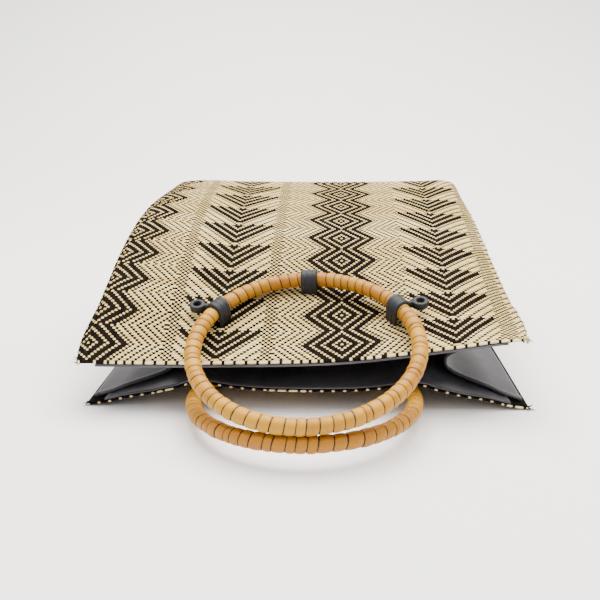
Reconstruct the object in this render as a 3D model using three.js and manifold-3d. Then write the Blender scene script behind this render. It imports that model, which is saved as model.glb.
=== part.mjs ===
// A woven straw tote bag lying on its back, its mouth towards -Y.
// Millimetres, +Z up, +X to the right, +Y from the mouth to the bag's bottom.
import * as THREE from 'three';
import { mergeVertices } from 'three/addons/utils/BufferGeometryUtils.js';
import Module from 'manifold-3d';

const wasm = await Module();
wasm.setup();

// The bag's cut sizes
const bagWidth = 336;
const panelDepth = 298;
const bottomHeight = 135;
const gussetWidth = 138;
const matThickness = 1.8;
const liningThickness = 0.9;
const gussetThickness = 1.2;
const foldRadius = 9;
const clearance = 0.3;

// How the bag lies
const lowerMouthY = -4;
const upperMouthY = -10;
const mouthSkew = 7;
const lowerMouthBow = 6;
const sideLean = 4.5;
const bottomBulge = 5;
const cornerPull = 4.5;
const cornerReach = 0.12;
const hemRecess = 20;
const gussetInset = 4;
const liningInset = 14;
const upperLiningReach = 2;
const lowerLiningReach = -1;

// The two ring handles
const ringRadius = 81.4;
const tubeRadius = 5.7;
const upperRingX = 2;
const upperRingY = -11.7;
const upperRingTilt = 19.4;
const upperRingRoll = 2;
const lowerRingX = 1;
const lowerRingY = -8.5;
const lowerRingTilt = -3.5;
const lowerRingRoll = 0.6;

// The leather laces that hold the rings
const laceThickness = 1.8;
const laceWidth = 13;
const laceGap = 0.4;
const sideLaceAngle = 58;
const curlRadius = 6.6;
const curlHole = 3.2;
const curlHeight = 5;
const curlOut = 17;
const curlForward = 5;
const curlLinkWidth = 3;
const footMargin = 3;

// Fineness of the meshes
const matCellsAcross = 14;
const panelCells = 14;
const foldCells = 3;
const bottomCells = 4;
const gussetCellsAcross = 12;
const ringSteps = 48;
const tubeSides = 10;
const laceSides = 8;

// Heights of the upper panel as shares of bottomHeight: one column for each station along it from
// the mouth (shares of panelDepth), one row for each station across it (shares of half the width).
const alongStations = { mouth: 0, eighth: 0.12, quarter: 0.25, half: 0.5, rear: 0.75, bottom: 1 };
const upperHeights = [
  { across: -1, mouth: 0.295, eighth: 0.4, quarter: 0.515, half: 0.7, rear: 0.8, bottom: 0.78 },
  { across: -0.93, mouth: 0.295, eighth: 0.44, quarter: 0.585, half: 0.785, rear: 0.9, bottom: 0.9 },
  { across: -0.8, mouth: 0.294, eighth: 0.42, quarter: 0.575, half: 0.8, rear: 0.955, bottom: 1.0 },
  { across: -0.4, mouth: 0.296, eighth: 0.395, quarter: 0.535, half: 0.775, rear: 0.93, bottom: 1.0 },
  { across: 0.18, mouth: 0.32, eighth: 0.405, quarter: 0.52, half: 0.745, rear: 0.89, bottom: 0.995 },
  { across: 0.68, mouth: 0.398, eighth: 0.475, quarter: 0.57, half: 0.745, rear: 0.89, bottom: 1.0 },
  { across: 0.88, mouth: 0.435, eighth: 0.475, quarter: 0.545, half: 0.7, rear: 0.86, bottom: 0.995 },
  { across: 1, mouth: 0.445, eighth: 0.465, quarter: 0.5, half: 0.63, rear: 0.77, bottom: 0.88 },
];

// Lift of the lower panel over the lower ring: shares of its full lift, across from the middle
// (share of half the width) and along from the mouth (share of the ring's reach under the bag).
const liftAcross = [
  { at: 0, share: 0.77 }, { at: 0.2, share: 0.8 }, { at: 0.34, share: 0.9 }, { at: 0.42, share: 1 },
  { at: 0.52, share: 1 }, { at: 0.58, share: 0.82 }, { at: 0.64, share: 0.68 }, { at: 0.7, share: 0.55 },
  { at: 0.78, share: 0.42 }, { at: 0.84, share: 0.3 }, { at: 0.9, share: 0.15 }, { at: 1, share: 0 },
];
const liftAlong = [
  { at: 0, share: 1 }, { at: 1, share: 1 }, { at: 1.5, share: 0.62 },
  { at: 2.0, share: 0.16 }, { at: 2.3, share: 0 },
];

const degrees = Math.PI / 180;

// The lowest tube centre: the ring's back is just off the floor, with a lace under it
const lowerRingBackZ = tubeRadius + laceGap + laceThickness + clearance;
const lowerRingZ = lowerRingBackZ - ringRadius * Math.sin(lowerRingTilt * degrees);
const ringReach = lowerRingY + ringRadius + tubeRadius;
const lowerRingRise = Math.tan(lowerRingTilt * degrees) * (lowerMouthY - lowerRingY);
const lowerRingTopAtMouth = lowerRingZ + lowerRingRise + tubeRadius;
const fullLift = lowerRingTopAtMouth + clearance + Math.sin(lowerRingRoll * degrees) * ringRadius;

// A smooth curve through (places, values), straight beyond its ends
function smooth(places, values, at) {
  const last = places.length - 1;
  const slope = (i) => {
    const a = Math.max(i - 1, 0);
    const b = Math.min(i + 1, last);
    return (values[b] - values[a]) / (places[b] - places[a]);
  };
  if (at <= places[0]) return values[0] + slope(0) * (at - places[0]);
  if (at >= places[last]) return values[last] + slope(last) * (at - places[last]);
  let i = 0;
  while (at > places[i + 1]) i += 1;
  const step = places[i + 1] - places[i];
  const t = (at - places[i]) / step;
  const rise = values[i + 1] - values[i];
  const a = slope(i) * step - rise;
  const b = rise - slope(i + 1) * step;
  return values[i] + rise * t + t * (1 - t) * (a * (1 - t) + b * t);
}

// Height of the upper panel's middle surface at a station across (-1 to 1) and along (0 to 1)
function upperHeight(across, along) {
  const names = Object.keys(alongStations);
  const places = names.map((name) => alongStations[name]);
  const heights = upperHeights.map((row) => smooth(places, names.map((name) => row[name]), along));
  return bottomHeight * smooth(upperHeights.map((row) => row.across), heights, across);
}

function lowerLift(across, depth) {
  const side = smooth(liftAcross.map((row) => row.at), liftAcross.map((row) => row.share), Math.abs(across));
  const reach = Math.min(Math.max(depth / ringReach, 0), liftAlong.at(-1).at);
  const back = smooth(liftAlong.map((row) => row.at), liftAlong.map((row) => row.share), reach);
  return fullLift * Math.max(side, 0) * Math.max(back, 0);
}

// Steps of a run's sum, the least share of a length that its plan run keeps, the share of the
// bottom's length that each of its two folds takes, and the step that a surface's slope is taken over
const runSteps = 24;
const leastRun = 0.2;
const foldShare = 0.1;
const slopeStep = 0.004;

// A length of mat laid over heights: its plan run is what the slope leaves of it
function planRun(length, rise) {
  return Math.sqrt(Math.max(length ** 2 - rise ** 2, (length * leastRun) ** 2));
}

function upperDepth(across, along) {
  let run = 0;
  const step = along / runSteps;
  for (let i = 0; i < runSteps; i += 1) {
    const rise = upperHeight(across, step * (i + 1)) - upperHeight(across, step * i);
    run += planRun(Math.abs(step) * panelDepth, rise) * Math.sign(step);
  }
  return upperMouthY + mouthSkew * across / 2 + run;
}

function upperSide(across, along) {
  let run = 0;
  const step = across / runSteps;
  for (let i = 0; i < runSteps; i += 1) {
    const rise = upperHeight(step * (i + 1), along) - upperHeight(step * i, along);
    run += planRun(Math.abs(step) * bagWidth / 2, rise) * Math.sign(step);
  }
  // The side seams pull the panel in at the corners of the mouth
  const pull = cornerPull * Math.max(1 - Math.max(along, 0) / cornerReach, 0) ** 2;
  return run - sideLean / 2 - pull * across ** 3;
}

function lowerSide(across) {
  return across * bagWidth / 2 + sideLean / 2;
}

// The mat's middle surface. Part 0 to 1 runs along the upper panel from the mouth, 1 to 2 down the
// bag's bottom and 2 to 3 along the lower panel back to the mouth.
function matPoint(across, part) {
  if (part <= 1) {
    return new THREE.Vector3(upperSide(across, part), upperDepth(across, part), upperHeight(across, part));
  }
  const end = matPoint(across, 1);
  const floorZ = matThickness / 2;
  if (part >= 2) {
    const mouth = lowerMouthY + mouthSkew * across / 2 + lowerMouthBow * across ** 2;
    const depth = end.y + (mouth - end.y) * (part - 2);
    return new THREE.Vector3(lowerSide(across), depth, floorZ + lowerLift(across, depth));
  }
  const share = part - 1;
  const x = end.x + (lowerSide(across) - end.x) * share;
  if (share < foldShare) {
    const turn = share / foldShare * Math.PI / 2;
    const y = end.y + foldRadius * Math.sin(turn);
    return new THREE.Vector3(x, y, end.z - foldRadius * (1 - Math.cos(turn)));
  }
  if (share > 1 - foldShare) {
    const turn = (1 - share) / foldShare * Math.PI / 2;
    const y = end.y + foldRadius * Math.sin(turn);
    return new THREE.Vector3(x, y, floorZ + foldRadius * (1 - Math.cos(turn)));
  }
  const down = (share - foldShare) / (1 - 2 * foldShare);
  const top = end.z - foldRadius;
  const bottom = floorZ + foldRadius;
  const bulge = bottomBulge * Math.sin(Math.PI * down) ** 2;
  return new THREE.Vector3(x, end.y + foldRadius + bulge, top + (bottom - top) * down);
}

// The mat's normal, pointing out of the bag
function matNormal(across, part) {
  const wide = matPoint(Math.min(across + slopeStep, 1), part)
    .sub(matPoint(Math.max(across - slopeStep, -1), part));
  const long = matPoint(across, part + slopeStep).sub(matPoint(across, part - slopeStep));
  return wide.cross(long).normalize();
}

function matOffset(across, part, distance) {
  return matPoint(across, part).addScaledVector(matNormal(across, part), distance);
}

// A closed wall between two grids of points, rows by columns
function wallGeometry(outer, inner) {
  const rows = outer.length;
  const columns = outer[0].length;
  const points = [...outer.flat(), ...inner.flat()];
  const index = [];
  const at = (side, r, c) => side * rows * columns + r * columns + c;
  const quad = (a, b, c, d) => index.push(a, b, c, a, c, d);
  for (let r = 0; r < rows - 1; r += 1) {
    for (let c = 0; c < columns - 1; c += 1) {
      quad(at(0, r, c), at(0, r, c + 1), at(0, r + 1, c + 1), at(0, r + 1, c));
      quad(at(1, r, c), at(1, r + 1, c), at(1, r + 1, c + 1), at(1, r, c + 1));
    }
    quad(at(0, r, 0), at(0, r + 1, 0), at(1, r + 1, 0), at(1, r, 0));
    quad(at(0, r, columns - 1), at(1, r, columns - 1), at(1, r + 1, columns - 1), at(0, r + 1, columns - 1));
  }
  for (let c = 0; c < columns - 1; c += 1) {
    quad(at(0, 0, c), at(1, 0, c), at(1, 0, c + 1), at(0, 0, c + 1));
    quad(at(0, rows - 1, c), at(0, rows - 1, c + 1), at(1, rows - 1, c + 1), at(1, rows - 1, c));
  }
  const geometry = new THREE.BufferGeometry();
  geometry.setAttribute('position', new THREE.Float32BufferAttribute(points.flatMap((p) => p.toArray()), 3));
  geometry.setIndex(index);
  return geometry;
}

// Stations along the mat, closer together in its folds
function partStations() {
  const stations = [];
  for (let i = 0; i < panelCells; i += 1) stations.push(i / panelCells);
  for (let i = 0; i < foldCells; i += 1) stations.push(1 + foldShare * i / foldCells);
  for (let i = 0; i < bottomCells; i += 1) {
    stations.push(1 + foldShare + (1 - 2 * foldShare) * i / bottomCells);
  }
  for (let i = 0; i < foldCells; i += 1) stations.push(2 - foldShare + foldShare * i / foldCells);
  for (let i = 0; i <= panelCells; i += 1) stations.push(2 + i / panelCells);
  return stations;
}

// Stations across the part of the mat that the lining covers, and where the gussets join it
const liningSpan = 1 - 2 * liningInset / bagWidth;
const gussetSpan = 1 - 2 * gussetInset / bagWidth;

function liningStations() {
  const stations = [];
  for (let i = 0; i <= matCellsAcross; i += 1) stations.push(liningSpan * (2 * i / matCellsAcross - 1));
  return stations;
}

function sheetGeometry(parts, acrosses, near, far) {
  const grid = (distance) => parts.map((part) => acrosses.map((across) => matOffset(across, part, distance)));
  return wallGeometry(grid(near), grid(far));
}

// Materials
const strawMaterial = new THREE.MeshStandardMaterial({ color: 0xb5a887, roughness: 0.7, metalness: 0 });
const liningMaterial = new THREE.MeshStandardMaterial({ color: 0x17171a, roughness: 0.5, metalness: 0 });
const gussetMaterial = new THREE.MeshStandardMaterial({ color: 0x3c3d41, roughness: 0.45, metalness: 0 });
const caneMaterial = new THREE.MeshStandardMaterial({ color: 0xd6a45e, roughness: 0.5, metalness: 0 });
const laceMaterial = new THREE.MeshStandardMaterial({ color: 0x33363b, roughness: 0.55, metalness: 0 });

function namedMesh(name, geometry, material) {
  const mesh = new THREE.Mesh(geometry, material);
  mesh.name = name;
  return mesh;
}

// The woven mat, one piece round the bag's bottom
function wovenBody() {
  const half = matThickness / 2;
  const acrosses = [-1, -gussetSpan, ...liningStations(), gussetSpan, 1];
  return namedMesh('woven_body', sheetGeometry(partStations(), acrosses, half, -half), strawMaterial);
}

// The lining behind it, which shows as a dark edge at the mouth: it stands out past the upper
// panel's edge and stops just short of the lower one's
function lining() {
  const near = -(matThickness / 2 + clearance);
  const parts = partStations();
  parts[0] = -upperLiningReach / panelDepth;
  parts[parts.length - 1] = 3 + lowerLiningReach / panelDepth;
  const geometry = sheetGeometry(parts, liningStations(), near, near - liningThickness);
  return namedMesh('lining', geometry, liningMaterial);
}

// How a gusset's inward fold closes towards the bag's bottom: its depth there as a share, how soon
// it opens to the full depth, and how sharply its end turns back in. Its rounded form takes up some
// of the strip's length, and its hem starts a little behind the mouth.
const gussetEndDepth = 0.08;
const gussetOpening = 6;
const gussetEndPower = 6;
const gussetRoundness = 0.87;
const hemInset = 8;
const hemPower = 1.5;

// The gusset's form across: places down its strip from the upper panel, how far each is folded in
// (share of the fold's depth) and how far down it is (share of the gap between the panels)
const gussetForm = [
  { at: 0, inward: 0, down: 0 }, { at: 0.15, inward: 0.38, down: 0.17 },
  { at: 0.3, inward: 0.76, down: 0.36 }, { at: 0.42, inward: 0.96, down: 0.58 },
  { at: 0.5, inward: 1, down: 0.76 }, { at: 0.58, inward: 0.96, down: 0.87 },
  { at: 0.7, inward: 0.76, down: 0.93 }, { at: 0.85, inward: 0.38, down: 0.96 },
  { at: 1, inward: 0, down: 1 },
];

// A side gusset: a strip between the mat's two side edges, folded inwards along its middle.
// Side is -1 for the left one and 1 for the right one.
function gussetPoint(side, across, along) {
  const edge = side * gussetSpan;
  const inside = -(matThickness / 2 + clearance + gussetThickness);
  const top = matOffset(edge, along, inside);
  const bottom = matOffset(edge, 3 - along, inside);
  const gap = top.distanceTo(bottom);
  const tuck = Math.sqrt(Math.max(gussetWidth ** 2 - gap ** 2, 0)) / 2 * gussetRoundness;
  const ending = Math.min(1, (1 - along) * gussetOpening + gussetEndDepth);
  const places = gussetForm.map((row) => row.at);
  const fold = Math.max(smooth(places, gussetForm.map((row) => row.inward), across), 0);
  const point = top.clone().lerp(bottom, smooth(places, gussetForm.map((row) => row.down), across));
  point.x -= side * tuck * ending * fold;
  point.y += fold ** hemPower * hemRecess * (1 - along) ** 2;
  const reach = foldRadius - matThickness - liningThickness - clearance;
  point.y += Math.sqrt(fold) * reach * along ** gussetEndPower;
  // It stays above the lower panel where that is lifted
  const lift = lowerLift((point.x - sideLean / 2) * 2 / bagWidth, point.y);
  const share = (point.z - bottom.z) / (top.z - bottom.z);
  point.z += lift * (1 - share);
  return point;
}

function gussetNormal(side, across, along) {
  const wide = gussetPoint(side, Math.min(across + slopeStep, 1), along)
    .sub(gussetPoint(side, Math.max(across - slopeStep, 0), along));
  const long = gussetPoint(side, across, Math.min(along + slopeStep, 1))
    .sub(gussetPoint(side, across, Math.max(along - slopeStep, 0)));
  return wide.cross(long).normalize().multiplyScalar(side);
}

function gusset(name, side) {
  const hemStart = hemInset / panelDepth;
  const grid = (distance) => {
    const rows = [];
    for (let r = 0; r <= panelCells; r += 1) {
      const row = [];
      for (let c = 0; c <= gussetCellsAcross; c += 1) {
        const across = side > 0 ? c / gussetCellsAcross : 1 - c / gussetCellsAcross;
        const along = hemStart + (1 - hemStart) * r / panelCells;
        const point = gussetPoint(side, across, along);
        row.push(point.addScaledVector(gussetNormal(side, across, along), distance));
      }
      rows.push(row);
    }
    return rows;
  };
  const half = gussetThickness / 2;
  return namedMesh(name, wallGeometry(grid(half), grid(-half)), gussetMaterial);
}

// A ring handle's frame: its centre and the directions in its plane and across it
function ringFrame(x, y, z, tilt, roll) {
  const turn = new THREE.Euler(tilt * degrees, -roll * degrees, 0, 'XYZ');
  const matrix = new THREE.Matrix4().makeRotationFromEuler(turn);
  return matrix.setPosition(x, y, z);
}

function ringPoint(frame, angle) {
  const flat = new THREE.Vector3(ringRadius * Math.cos(angle), ringRadius * Math.sin(angle), 0);
  return flat.applyMatrix4(frame);
}

function ringCentreline(frame) {
  const points = [];
  for (let i = 0; i < ringSteps; i += 1) points.push(ringPoint(frame, 2 * Math.PI * i / ringSteps));
  return points;
}

const lowerRingFrame = ringFrame(lowerRingX, lowerRingY, lowerRingZ, lowerRingTilt, lowerRingRoll);

// Points of the mat near the rings, on the upper panel and on the lower one: how far across and
// along it they reach, and how close together they are
const sampleAcross = 0.7;
const sampleAlong = 0.4;
const sampleAcrossStep = 0.03;
const sampleAlongStep = 0.01;

function matSamples(firstPart, lastPart) {
  const samples = [];
  for (let across = -sampleAcross; across <= sampleAcross; across += sampleAcrossStep) {
    for (let part = firstPart; part <= lastPart; part += sampleAlongStep) {
      samples.push(matPoint(across, part));
    }
  }
  return samples;
}

const upperSamples = matSamples(0, sampleAlong);
const lowerSamples = matSamples(3 - sampleAlong, 3);

// The upper ring lies on the upper panel, and its front stays clear of the lower ring's
function seatedUpperRing() {
  const below = ringCentreline(lowerRingFrame);
  const seat = tubeRadius + clearance + matThickness / 2;
  const apart = 2 * tubeRadius + clearance;
  const isClear = (frame) => ringCentreline(frame).every((p) => (
    upperSamples.every((q) => p.distanceTo(q) > seat) && below.every((q) => p.distanceTo(q) > apart)
  ));
  let low = 0;
  let high = bottomHeight * 2;
  const halvings = 14;
  for (let i = 0; i < halvings; i += 1) {
    const z = (low + high) / 2;
    if (isClear(ringFrame(upperRingX, upperRingY, z, upperRingTilt, upperRingRoll))) high = z;
    else low = z;
  }
  return ringFrame(upperRingX, upperRingY, high, upperRingTilt, upperRingRoll);
}

const upperRingFrame = seatedUpperRing();

// Points closer than this are one corner
const mergeDistance = 1e-4;

// A cane-wound ring, drawn as a plain torus
function ring(name, frame) {
  const section = new THREE.Shape();
  for (let i = 0; i < tubeSides; i += 1) {
    const angle = 2 * Math.PI * (i + 0.5) / tubeSides;
    const x = tubeRadius * Math.cos(angle);
    const y = tubeRadius * Math.sin(angle);
    if (i === 0) section.moveTo(x, y);
    else section.lineTo(x, y);
  }
  const profile = section.getPoints().map((p) => new THREE.Vector2(p.x + ringRadius, p.y));
  profile.push(profile[0].clone());
  const geometry = new THREE.LatheGeometry(profile, ringSteps);
  geometry.rotateX(Math.PI / 2);
  geometry.deleteAttribute('normal');
  geometry.deleteAttribute('uv');
  geometry.applyMatrix4(frame);
  return namedMesh(name, mergeVertices(geometry, mergeDistance), caneMaterial);
}

function solidOf(geometry) {
  const plain = geometry.clone();
  plain.deleteAttribute('normal');
  plain.deleteAttribute('uv');
  const merged = mergeVertices(plain, mergeDistance);
  const vertProperties = new Float32Array(merged.attributes.position.array);
  const triVerts = new Uint32Array(merged.index.array);
  return new wasm.Manifold(new wasm.Mesh({ numProp: 3, vertProperties, triVerts }));
}

function geometryOf(solid) {
  const mesh = solid.getMesh();
  const geometry = new THREE.BufferGeometry();
  geometry.setAttribute('position', new THREE.BufferAttribute(new Float32Array(mesh.vertProperties), 3));
  geometry.setIndex(new THREE.BufferAttribute(new Uint32Array(mesh.triVerts), 1));
  return geometry;
}

// Height at which a foot beside the tube clears the mat. Heights are counted from the tube's centre
// away from the mat, and the foot spans from near to far, out of the ring.
function footHeight(frame, angle, facing, near, far, halfLength) {
  const inverse = frame.clone().invert();
  const samples = facing > 0 ? upperSamples : lowerSamples;
  let height = -tubeRadius;
  for (const sample of samples) {
    const local = sample.clone().applyMatrix4(inverse);
    const out = Math.hypot(local.x, local.y) - ringRadius;
    const sideways = (Math.atan2(local.y, local.x) - angle) * ringRadius;
    const isUnder = out > near && out < far && Math.abs(sideways) < halfLength;
    if (isUnder) height = Math.max(height, facing * local.z + matThickness / 2);
  }
  return height + 2 * clearance;
}

// The lace's saddle over the tube, in the plane across it: x points out of the ring, y away from
// the mat, and its legs reach down to the mat
function saddleShape(outerFoot, innerFoot) {
  const inner = tubeRadius + laceGap;
  const outer = inner + laceThickness;
  const shape = new THREE.Shape();
  shape.moveTo(outer, outerFoot);
  shape.lineTo(outer, 0);
  shape.absarc(0, 0, outer, 0, Math.PI, false);
  shape.lineTo(-outer, innerFoot);
  shape.lineTo(-inner, innerFoot);
  shape.lineTo(-inner, 0);
  shape.absarc(0, 0, inner, Math.PI, 0, true);
  shape.lineTo(inner, outerFoot);
  shape.closePath();
  return shape;
}

// The curl at a side lace's end, level with the tube, and the link that joins it to the saddle.
// Forward is the side of the lace that is nearer the bag's mouth, 1 or -1 along the tube.
function curlSolid(start, forward) {
  const shape = new THREE.Shape();
  shape.absarc(0, 0, curlRadius, 0, 2 * Math.PI, false);
  const hole = new THREE.Path();
  hole.absarc(0, 0, curlHole, 0, 2 * Math.PI, true);
  shape.holes.push(hole);
  const settings = { depth: curlHeight, bevelEnabled: false, curveSegments: laceSides };
  const curl = new THREE.ExtrudeGeometry(shape, settings);
  curl.translate(curlOut, forward * curlForward, -curlHeight / 2);
  const wall = curlRadius - curlHole;
  const link = new THREE.BoxGeometry(curlOut - curlHole - wall / 2 - start, curlLinkWidth, curlHeight);
  link.translate((curlOut - curlHole - wall / 2 + start) / 2, forward * (curlForward - curlLinkWidth / 2), 0);
  return solidOf(curl).add(solidOf(link));
}

// One lace on a ring. Facing is 1 for a lace over the ring and -1 for one under it. Side is 1 for the
// left one, -1 for the right one and 0 for the centre one, which has no curl.
function lace(name, frame, angle, facing, side) {
  const outside = tubeRadius + laceGap + laceThickness;
  const near = tubeRadius - footMargin;
  const far = outside + footMargin;
  const halfLength = laceWidth / 2 + footMargin;
  const outerFoot = footHeight(frame, angle, facing, near, far, halfLength);
  const innerFoot = footHeight(frame, angle, facing, -far, -near, halfLength);
  const settings = { depth: laceWidth, bevelEnabled: false, curveSegments: laceSides };
  const saddleGeometry = new THREE.ExtrudeGeometry(saddleShape(outerFoot, innerFoot), settings);
  saddleGeometry.translate(0, 0, -laceWidth / 2);
  saddleGeometry.rotateX(Math.PI / 2);
  let solid = solidOf(saddleGeometry);
  if (side !== 0) solid = solid.add(curlSolid(outside - laceThickness / 2, facing * side));
  const geometry = geometryOf(solid);
  if (facing < 0) geometry.rotateX(Math.PI);
  geometry.translate(ringRadius, 0, 0);
  geometry.rotateZ(angle);
  geometry.applyMatrix4(frame);
  return namedMesh(name, geometry, laceMaterial);
}

function laces(label, frame, facing) {
  const back = Math.PI / 2;
  const side = sideLaceAngle * degrees;
  return [
    lace(`${label}_lace_centre`, frame, back, facing, 0),
    lace(`${label}_lace_left`, frame, back + side, facing, 1),
    lace(`${label}_lace_right`, frame, back - side, facing, -1),
  ];
}

const bag = new THREE.Group();
bag.add(wovenBody());
bag.add(lining());
bag.add(gusset('gusset_left', -1));
bag.add(gusset('gusset_right', 1));
bag.add(ring('upper_ring', upperRingFrame));
bag.add(ring('lower_ring', lowerRingFrame));
bag.add(...laces('upper', upperRingFrame, 1));
bag.add(...laces('lower', lowerRingFrame, -1));

// The origin is under the middle of the whole bag
const box = new THREE.Box3().setFromObject(bag, true);
bag.position.set(-(box.min.x + box.max.x) / 2, -(box.min.y + box.max.y) / 2, -box.min.z);

export default bag;
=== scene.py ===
import math

import bpy
import numpy as np
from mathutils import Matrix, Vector


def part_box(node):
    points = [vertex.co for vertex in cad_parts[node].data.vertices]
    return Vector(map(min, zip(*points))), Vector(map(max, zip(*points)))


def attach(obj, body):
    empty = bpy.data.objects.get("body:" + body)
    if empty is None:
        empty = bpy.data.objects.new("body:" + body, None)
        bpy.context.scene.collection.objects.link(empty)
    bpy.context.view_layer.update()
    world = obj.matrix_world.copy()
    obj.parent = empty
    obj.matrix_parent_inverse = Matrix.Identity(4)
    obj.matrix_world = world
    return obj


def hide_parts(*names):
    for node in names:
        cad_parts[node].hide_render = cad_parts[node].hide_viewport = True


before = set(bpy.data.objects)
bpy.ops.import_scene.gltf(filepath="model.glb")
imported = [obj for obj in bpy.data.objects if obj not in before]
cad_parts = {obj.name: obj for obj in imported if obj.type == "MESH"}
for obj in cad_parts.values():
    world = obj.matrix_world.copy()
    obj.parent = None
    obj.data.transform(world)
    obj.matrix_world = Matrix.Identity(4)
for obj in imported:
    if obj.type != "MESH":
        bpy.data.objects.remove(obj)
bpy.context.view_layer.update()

# The bag's cut sizes
BAG_WIDTH = 336
PANEL_DEPTH = 298
BOTTOM_HEIGHT = 135
GUSSET_WIDTH = 138
MAT_THICKNESS = 1.8
LINING_THICKNESS = 0.9
GUSSET_THICKNESS = 1.2
FOLD_RADIUS = 9
CLEARANCE = 0.3

# How the bag lies
LOWER_MOUTH_Y = -4
UPPER_MOUTH_Y = -10
MOUTH_SKEW = 7
LOWER_MOUTH_BOW = 6
SIDE_LEAN = 4.5
BOTTOM_BULGE = 5
CORNER_PULL = 4.5
CORNER_REACH = 0.12
HEM_RECESS = 20
GUSSET_INSET = 4
LINING_INSET = 14
UPPER_LINING_REACH = 2
LOWER_LINING_REACH = -1

# The two ring handles
RING_RADIUS = 81.4
TUBE_RADIUS = 5.7
UPPER_RING_TILT = 19.4
UPPER_RING_ROLL = 2
LOWER_RING_X = 1
LOWER_RING_Y = -8.5
LOWER_RING_TILT = -3.5
LOWER_RING_ROLL = 0.6

# The leather laces
LACE_THICKNESS = 1.8
LACE_WIDTH = 13
LACE_GAP = 0.4
SIDE_LACE_ANGLE = 58
CURL_RADIUS = 7
CURL_HEIGHT = 5
CURL_OUT = 17
CURL_FORWARD = 5

# Weave cells across the mat, and rows along each panel and down the bag's bottom
CELLS = 158
PANEL_ROWS = 139
BOTTOM_ROWS = 63

# Heights of the upper panel as shares of BOTTOM_HEIGHT: one column for each station along it (shares
# of PANEL_DEPTH), one row for each station across it (shares of half the width)
ALONG_STATIONS = [0, 0.12, 0.25, 0.5, 0.75, 1]
ACROSS_STATIONS = [-1, -0.93, -0.8, -0.4, 0.18, 0.68, 0.88, 1]
HEIGHTS = np.array([
    [0.295, 0.4, 0.515, 0.7, 0.8, 0.78],
    [0.295, 0.44, 0.585, 0.785, 0.9, 0.9],
    [0.294, 0.42, 0.575, 0.8, 0.955, 1.0],
    [0.296, 0.395, 0.535, 0.775, 0.93, 1.0],
    [0.32, 0.405, 0.52, 0.745, 0.89, 0.995],
    [0.398, 0.475, 0.57, 0.745, 0.89, 1.0],
    [0.435, 0.475, 0.545, 0.7, 0.86, 0.995],
    [0.445, 0.465, 0.5, 0.63, 0.77, 0.88],
])

# Lift of the lower panel over the lower ring: places and shares, across it and along it
LIFT_ACROSS = [(0, 0.77), (0.2, 0.8), (0.34, 0.9), (0.42, 1), (0.52, 1), (0.58, 0.82), (0.64, 0.68),
               (0.7, 0.55), (0.78, 0.42), (0.84, 0.3), (0.9, 0.15), (1, 0)]
LIFT_ALONG = [(0, 1), (1, 1), (1.5, 0.62), (2.0, 0.16), (2.3, 0)]

RUN_STEPS = 24
LEAST_RUN = 0.2
FOLD_SHARE = 0.1
SLOPE_STEP = 0.004

# How a gusset's inward fold closes towards the bag's bottom
GUSSET_END_DEPTH = 0.08
GUSSET_OPENING = 6
GUSSET_END_POWER = 6
GUSSET_ROUNDNESS = 0.87
HEM_INSET = 8
HEM_POWER = 1.5

# The gusset's form across: places down its strip from the upper panel, how far each is folded in
# (share of the fold's depth) and how far down it is (share of the gap between the panels)
GUSSET_PLACES = [0, 0.15, 0.3, 0.42, 0.5, 0.58, 0.7, 0.85, 1]
GUSSET_INWARD = [0, 0.38, 0.76, 0.96, 1, 0.96, 0.76, 0.38, 0]
GUSSET_DOWN = [0, 0.17, 0.36, 0.58, 0.76, 0.87, 0.93, 0.96, 1]

lower_ring_back_z = TUBE_RADIUS + LACE_GAP + LACE_THICKNESS + CLEARANCE
lower_ring_z = lower_ring_back_z - RING_RADIUS * math.sin(math.radians(LOWER_RING_TILT))
ring_reach = LOWER_RING_Y + RING_RADIUS + TUBE_RADIUS
lower_ring_rise = math.tan(math.radians(LOWER_RING_TILT)) * (LOWER_MOUTH_Y - LOWER_RING_Y)
full_lift = (lower_ring_z + lower_ring_rise + TUBE_RADIUS + CLEARANCE
             + math.sin(math.radians(LOWER_RING_ROLL)) * RING_RADIUS)


def box_centre(node):
    low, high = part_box(node)
    return (np.array(low) + np.array(high)) / 2 * 1000


# The mouth frame's origin in the row frame, found from the lower ring
lower_centre = box_centre("lower_ring")
ORIGIN = np.array([lower_centre[0] - LOWER_RING_X, lower_centre[1] - LOWER_RING_Y, 0])


# Shapes

def smooth_weights(places, at):
    """Share of each place's value in a smooth curve at each station of at, a row for each station."""
    places = np.asarray(places, float)
    at = np.asarray(at, float)
    last = len(places) - 1
    values = np.eye(last + 1)
    slopes = np.zeros((last + 1, last + 1))
    for i in range(last + 1):
        a, b = max(i - 1, 0), min(i + 1, last)
        slopes[i] = (values[b] - values[a]) / (places[b] - places[a])
    i = np.clip(np.searchsorted(places, at) - 1, 0, last - 1)
    step = (places[i + 1] - places[i])[:, None]
    t = (at - places[i])[:, None] / step
    rise = values[i + 1] - values[i]
    a = slopes[i] * step - rise
    b = rise - slopes[i + 1] * step
    inner = values[i] + rise * t + t * (1 - t) * (a * (1 - t) + b * t)
    before = values[0] + slopes[0] * (at - places[0])[:, None]
    after = values[last] + slopes[last] * (at - places[last])[:, None]
    at = at[:, None]
    return np.where(at <= places[0], before, np.where(at >= places[last], after, inner))


def upper_heights(across, along):
    rows = smooth_weights(ALONG_STATIONS, along)
    columns = smooth_weights(ACROSS_STATIONS, across)
    return BOTTOM_HEIGHT * rows @ HEIGHTS.T @ columns.T


def curve(table, at):
    places, shares = zip(*table)
    flat = np.ravel(at)
    return (smooth_weights(places, flat) @ np.array(shares)).reshape(np.shape(at))


def lower_lift(across, depth):
    side = curve(LIFT_ACROSS, np.abs(across))
    back = curve(LIFT_ALONG, np.clip(depth / ring_reach, 0, LIFT_ALONG[-1][0]))
    return full_lift * np.maximum(side, 0) * np.maximum(back, 0)


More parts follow.
